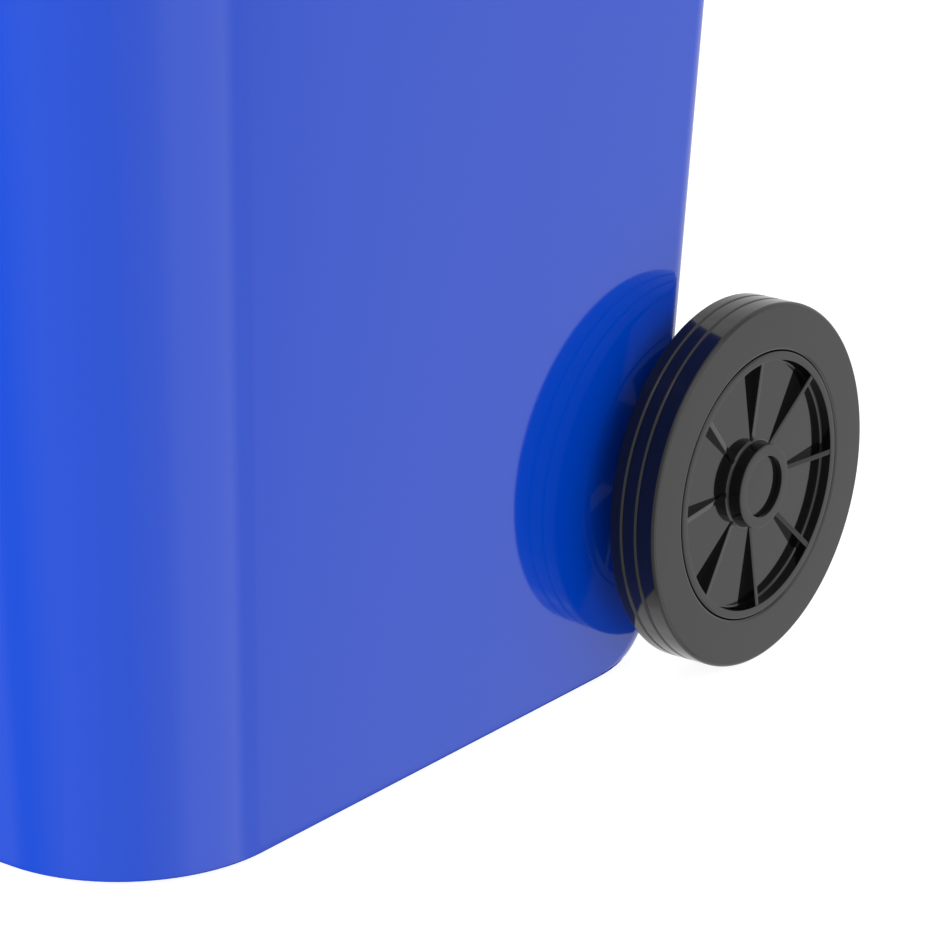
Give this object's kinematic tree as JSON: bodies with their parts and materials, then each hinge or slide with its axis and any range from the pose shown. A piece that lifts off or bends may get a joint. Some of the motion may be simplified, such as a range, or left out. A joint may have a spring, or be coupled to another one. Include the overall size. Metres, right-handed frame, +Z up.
{
  "type": "wheelie bin",
  "caption": "Tall household wheelie bin with a hinged lid, rear grips, a comb rim and wheels on a steel axle.",
  "frame": {"origin": "middle of the footprint's bounding box, on the floor", "axes": "+Z up; -Y is the front with the comb rim, +Y the back with hinge, grips and wheels; +X the bin's right side"},
  "size_m": [0.58, 0.7535, 1.07],
  "materials": {
    "blue_plastic": "glossy moulded blue",
    "black_plastic": "satin black",
    "wheel_plastic": "glossy black",
    "tyre_rubber": "glossy black solid rubber",
    "steel": "zinc-plated",
    "nylon": "natural",
    "buffer_rubber": "matt"
  },
  "bodies": {
    "bin": {"tub_base": "blue_plastic", "tub_front": "blue_plastic", "tub_sides": "blue_plastic", "tub_rear": "blue_plastic", "tub_rear_corners": "blue_plastic", "tub_heel": "blue_plastic", "tub_heel_corners": "blue_plastic", "tub_corners_side": "blue_plastic", "tub_corners_near_side": "blue_plastic", "tub_corners_near_front": "blue_plastic", "tub_corners_front": "blue_plastic", "rim_front_flange": "blue_plastic", "rim_front_lip": "blue_plastic", "rim_front_corners": "blue_plastic", "rim_sides": "blue_plastic", "rim_rear": "blue_plastic", "comb_ribs": "blue_plastic", "hinge_lugs": "blue_plastic", "grips": "blue_plastic", "axle_brackets": "blue_plastic", "front_skid": "blue_plastic", "tag_nest": "blue_plastic", "axle": "steel", "chip_plug": "black_plastic", "drain_plug": "black_plastic", "hinge_pin_left": "black_plastic", "axle_spacer_left": "black_plastic", "hub_washer_left": "steel", "lock_ring_left": "steel", "hinge_pin_right": "black_plastic", "axle_spacer_right": "black_plastic", "hub_washer_right": "steel", "lock_ring_right": "steel"},
    "lid": {"lid_panel": "blue_plastic", "lid_front_slope": "blue_plastic", "lid_side_slopes": "blue_plastic", "lid_rear_slope": "blue_plastic", "lid_front_skirt": "blue_plastic", "lid_side_skirts": "blue_plastic", "lid_front_corners": "blue_plastic", "lid_rear_corners": "blue_plastic", "lid_knuckles": "blue_plastic", "lid_buffer_left": "buffer_rubber", "lid_buffer_right": "buffer_rubber"},
    "wheel_left": {"wheel_core_left": "wheel_plastic", "tyre_left": "tyre_rubber", "hub_cap_left": "wheel_plastic", "hub_bush_left": "nylon"},
    "wheel_right": {"wheel_core_right": "wheel_plastic", "tyre_right": "tyre_rubber", "hub_cap_right": "wheel_plastic", "hub_bush_right": "nylon"}
  },
  "joints": [
    {"name": "lid_hinge", "type": "hinge", "parent": "bin", "child": "lid", "pos_m": [0, 0.3518, 1.034], "axis": [-1, 0, 0], "range_deg": [0, 270]},
    {"name": "wheel_left_spin", "type": "hinge", "parent": "bin", "child": "wheel_left", "pos_m": [-0.269, 0.2518, 0.125], "axis": [1, 0, 0], "continuous": true},
    {"name": "wheel_right_spin", "type": "hinge", "parent": "bin", "child": "wheel_right", "pos_m": [0.269, 0.2518, 0.125], "axis": [1, 0, 0], "continuous": true}
  ]
}
